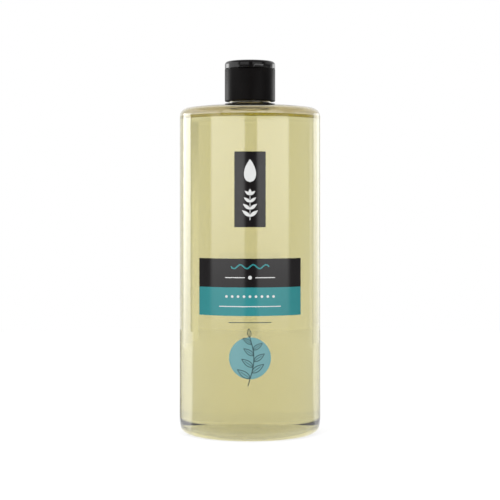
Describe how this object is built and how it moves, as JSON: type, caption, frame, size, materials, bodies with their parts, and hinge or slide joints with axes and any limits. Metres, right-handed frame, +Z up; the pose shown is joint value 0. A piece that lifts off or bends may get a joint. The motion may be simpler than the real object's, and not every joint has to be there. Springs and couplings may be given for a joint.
{
  "type": "flip-top oil bottle",
  "caption": "Clear cylindrical bottle of pale yellow oil with a black screw-on flip-top cap: hinged domed lid, plug seal, pouring spout and thumb scoop.",
  "frame": {"origin": "centre of the base on the surface that the bottle stands on", "axes": "+Z up along the bottle's axis, -Y towards the printed front, +Y towards the cap's hinge"},
  "size_m": [0.084, 0.0842, 0.2219],
  "materials": {
    "clear_plastic": "clear moulded polyester, polished",
    "pale_oil": "clear pale yellow liquid",
    "black_ink": "gloss screen-printed ink",
    "teal_ink": "gloss screen-printed ink",
    "pale_blue_ink": "gloss screen-printed ink",
    "white_foam": "closed-cell foam",
    "satin_black_plastic": "fine satin texture",
    "gloss_black_plastic": "polished"
  },
  "bodies": {
    "bottle": {"bottle": "clear_plastic", "oil": "pale_oil", "print_upper_panel": "black_ink", "print_title_band": "black_ink", "print_subtitle_band": "teal_ink", "print_motif_disc": "pale_blue_ink"},
    "liner": {"cap_liner": "white_foam"},
    "cap": {"cap_base": "satin_black_plastic", "hinge_film_left": "satin_black_plastic", "hinge_film_right": "satin_black_plastic", "snap_strap": "satin_black_plastic"},
    "lid": {"cap_lid": "gloss_black_plastic"}
  },
  "joints": [
    {"name": "cap_lift", "type": "slide", "parent": "bottle", "child": "liner", "axis": [0, 0, 1], "range_m": [0, 0.00635]},
    {"name": "cap_turn", "type": "hinge", "parent": "liner", "child": "cap", "pos_m": [0, 0, 0.205], "axis": [0, 0, 1], "range_deg": [0, 540]},
    {"name": "lid_flip", "type": "hinge", "parent": "cap", "child": "lid", "pos_m": [0, 0.0144, 0.21691], "axis": [-1, 0, 0], "range_deg": [0, 170], "deforming": ["hinge_film_left", "hinge_film_right", "snap_strap"]}
  ],
  "couplings": [
    {"joint": "cap_lift", "follows": "cap_turn", "m_per_rad": 0.00067376}
  ]
}
